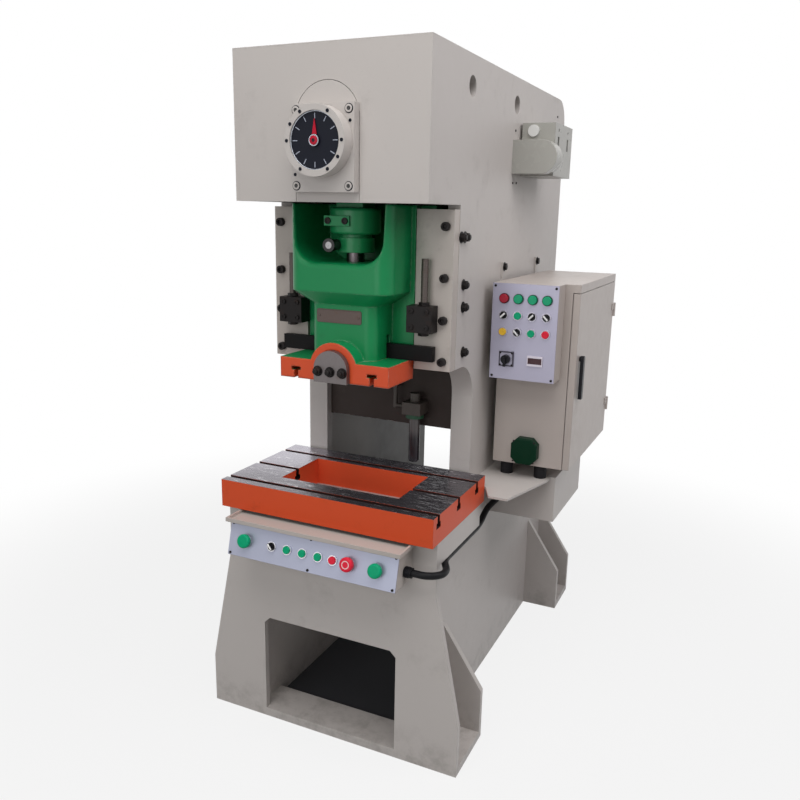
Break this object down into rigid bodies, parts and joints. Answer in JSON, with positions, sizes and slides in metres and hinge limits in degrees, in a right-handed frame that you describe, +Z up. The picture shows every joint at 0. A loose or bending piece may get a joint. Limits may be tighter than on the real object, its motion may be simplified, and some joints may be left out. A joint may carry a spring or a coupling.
{
  "type": "open-back power press",
  "caption": "Crank-driven open-back press with a C-shaped welded frame, slotted bolster, guided slide, angle dial, operator console and side cabinet.",
  "frame": {"origin": "on the floor, at the centre of the four anchor holes", "axes": "+Z up, the operator's side towards -Y, +X to the operator's right"},
  "size_m": [1.094, 1.5633, 2.166],
  "materials": {
    "body_paint": "semi-gloss warm grey paint",
    "orange_paint": "semi-gloss orange paint on a machined block",
    "green_paint": "gloss green paint on a casting",
    "machined_steel": "ground steel",
    "black_steel": "blackened steel",
    "chrome": "plated rings",
    "dial_dark": "matt dark dial",
    "needle_red": "red needle",
    "plate_lilac": "anodised control plate",
    "green_plastic": "green cap",
    "red_plastic": "red cap",
    "yellow_plastic": "yellow cap",
    "black_plastic": "black knob",
    "lamp_lens": "lamp lenses, the first one red",
    "rubber": "black rubber",
    "motor_paint": "blue-grey paint",
    "filter_grey": "cast head with a dark bowl"
  },
  "bodies": {
    "frame": {"side_plate_left": "body_paint", "side_plate_right": "body_paint", "head_front_plate": "body_paint", "top_cover": "body_paint", "bearing_walls": "body_paint", "column_web": "body_paint", "base_front_plate": "body_paint", "base_rear_plate": "body_paint", "bed_block": "body_paint", "feet": "body_paint", "bearing_cap": "body_paint", "dial_bezel": "body_paint", "gibs": "body_paint", "console_box": "body_paint", "panel_box": "body_paint", "cabinet_body": "body_paint", "cabinet_support": "body_paint", "chain_guard": "body_paint", "cam_switch_box": "body_paint", "bolster": "orange_paint", "socket_box": "green_paint", "frame_bolts": "black_steel", "stop_blocks": "black_steel", "button_bezels": "chrome", "dial_face": "dial_dark", "control_plates": "plate_lilac", "panel_lamps": "lamp_lens", "cabinet_mounts": "rubber", "console_hose": "rubber", "drive_belts": "rubber", "motor": "motor_paint", "air_filter": "filter_grey"},
    "slide": {"slide": "green_paint", "shank_clamp": "machined_steel", "connecting_rod": "green_paint", "rod_adjuster": "machined_steel"},
    "crank": {"crankshaft": "machined_steel", "dial_needle": "needle_red"},
    "flywheel": {"flywheel": "machined_steel"},
    "pulley": {"motor_pulley": "machined_steel"},
    "knockout": {"knockout_bar": "black_steel"},
    "door": {"cabinet_door": "body_paint"},
    "handle": {"door_handle": "black_plastic"},
    "palm_button_left": {"palm_button_left": "green_plastic"},
    "console_selector": {"console_selector": "black_plastic"},
    "console_green_1": {"console_green_1": "green_plastic"},
    "console_green_2": {"console_green_2": "green_plastic"},
    "console_green_3": {"console_green_3": "green_plastic"},
    "console_red": {"console_red": "red_plastic"},
    "emergency_stop": {"emergency_stop": "red_plastic"},
    "palm_button_right": {"palm_button_right": "green_plastic"},
    "panel_selector_1": {"panel_selector_1": "black_plastic"},
    "panel_green_1": {"panel_green_1": "green_plastic"},
    "panel_selector_2": {"panel_selector_2": "black_plastic"},
    "panel_selector_3": {"panel_selector_3": "black_plastic"},
    "panel_yellow": {"panel_yellow": "yellow_plastic"},
    "panel_selector_4": {"panel_selector_4": "black_plastic"},
    "panel_green_2": {"panel_green_2": "green_plastic"},
    "panel_red": {"panel_red": "red_plastic"},
    "rotary_knob": {"rotary_knob": "black_plastic"}
  },
  "joints": [
    {"name": "slide_stroke", "type": "slide", "parent": "frame", "child": "slide", "axis": [0, 0, 1], "range_m": [-0.12, 0]},
    {"name": "crank_turn", "type": "hinge", "parent": "frame", "child": "crank", "pos_m": [0, 0, 1.901], "axis": [0, 1, 0], "range_deg": [-1, 181]},
    {"name": "flywheel_spin", "type": "hinge", "parent": "frame", "child": "flywheel", "pos_m": [0, 0.605, 1.901], "axis": [0, 1, 0], "continuous": true},
    {"name": "pulley_spin", "type": "hinge", "parent": "frame", "child": "pulley", "pos_m": [0, 0.605, 1.142], "axis": [0, 1, 0], "continuous": true},
    {"name": "knockout_lift", "type": "slide", "parent": "slide", "child": "knockout", "axis": [0, 0, 1], "range_m": [0, 0.025]},
    {"name": "door_swing", "type": "hinge", "parent": "frame", "child": "door", "pos_m": [0.617, 0.4595, 1.2], "axis": [0, 0, 1], "range_deg": [0, 110]},
    {"name": "handle_turn", "type": "hinge", "parent": "door", "child": "handle", "pos_m": [0.617, -0.097, 1.24418], "axis": [1, 0, 0], "range_deg": [0, 90]},
    {"name": "palm_button_left_press", "type": "slide", "parent": "frame", "child": "palm_button_left", "axis": [0, 0.9674, -0.2532], "range_m": [0, 0.005], "stiffness_N_per_m": 500},
    {"name": "console_selector_turn", "type": "hinge", "parent": "frame", "child": "console_selector", "pos_m": [-0.13511, -0.826, 0.6965], "axis": [0, -0.9674, 0.2532], "range_deg": [-90, 0]},
    {"name": "console_green_1_press", "type": "slide", "parent": "frame", "child": "console_green_1", "axis": [0, 0.9674, -0.2532], "range_m": [0, 0.004], "stiffness_N_per_m": 500},
    {"name": "console_green_2_press", "type": "slide", "parent": "frame", "child": "console_green_2", "axis": [0, 0.9674, -0.2532], "range_m": [0, 0.004], "stiffness_N_per_m": 500},
    {"name": "console_green_3_press", "type": "slide", "parent": "frame", "child": "console_green_3", "axis": [0, 0.9674, -0.2532], "range_m": [0, 0.004], "stiffness_N_per_m": 500},
    {"name": "console_red_press", "type": "slide", "parent": "frame", "child": "console_red", "axis": [0, 0.9674, -0.2532], "range_m": [0, 0.004], "stiffness_N_per_m": 500},
    {"name": "emergency_stop_press", "type": "slide", "parent": "frame", "child": "emergency_stop", "axis": [0, 0.9674, -0.2532], "range_m": [0, 0.005], "stiffness_N_per_m": 500},
    {"name": "palm_button_right_press", "type": "slide", "parent": "frame", "child": "palm_button_right", "axis": [0, 0.9674, -0.2532], "range_m": [0, 0.005], "stiffness_N_per_m": 500},
    {"name": "panel_selector_1_turn", "type": "hinge", "parent": "frame", "child": "panel_selector_1", "pos_m": [0.38611, -0.227, 1.39101], "axis": [0, -1, 0], "range_deg": [0, 90]},
    {"name": "panel_green_1_press", "type": "slide", "parent": "frame", "child": "panel_green_1", "axis": [0, 1, 0], "range_m": [0, 0.004], "stiffness_N_per_m": 500},
    {"name": "panel_selector_2_turn", "type": "hinge", "parent": "frame", "child": "panel_selector_2", "pos_m": [0.48202, -0.227, 1.39101], "axis": [0, -1, 0], "range_deg": [0, 90]},
    {"name": "panel_selector_3_turn", "type": "hinge", "parent": "frame", "child": "panel_selector_3", "pos_m": [0.52998, -0.227, 1.39101], "axis": [0, -1, 0], "range_deg": [-90, 0]},
    {"name": "panel_yellow_press", "type": "slide", "parent": "frame", "child": "panel_yellow", "axis": [0, 1, 0], "range_m": [0, 0.004], "stiffness_N_per_m": 500},
    {"name": "panel_selector_4_turn", "type": "hinge", "parent": "frame", "child": "panel_selector_4", "pos_m": [0.43406, -0.227, 1.336], "axis": [0, -1, 0], "range_deg": [-90, 0]},
    {"name": "panel_green_2_press", "type": "slide", "parent": "frame", "child": "panel_green_2", "axis": [0, 1, 0], "range_m": [0, 0.004], "stiffness_N_per_m": 500},
    {"name": "panel_red_press", "type": "slide", "parent": "frame", "child": "panel_red", "axis": [0, 1, 0], "range_m": [0, 0.004], "stiffness_N_per_m": 500},
    {"name": "rotary_knob_turn", "type": "hinge", "parent": "frame", "child": "rotary_knob", "pos_m": [0.4029, -0.227, 1.24601], "axis": [0, -1, 0], "range_deg": [0, 90]}
  ],
  "couplings": [
    {"joint": "crank_turn", "follows": "slide_stroke", "rad_per_m": -26.18},
    {"joint": "pulley_spin", "follows": "flywheel_spin", "ratio": 3.9167}
  ]
}
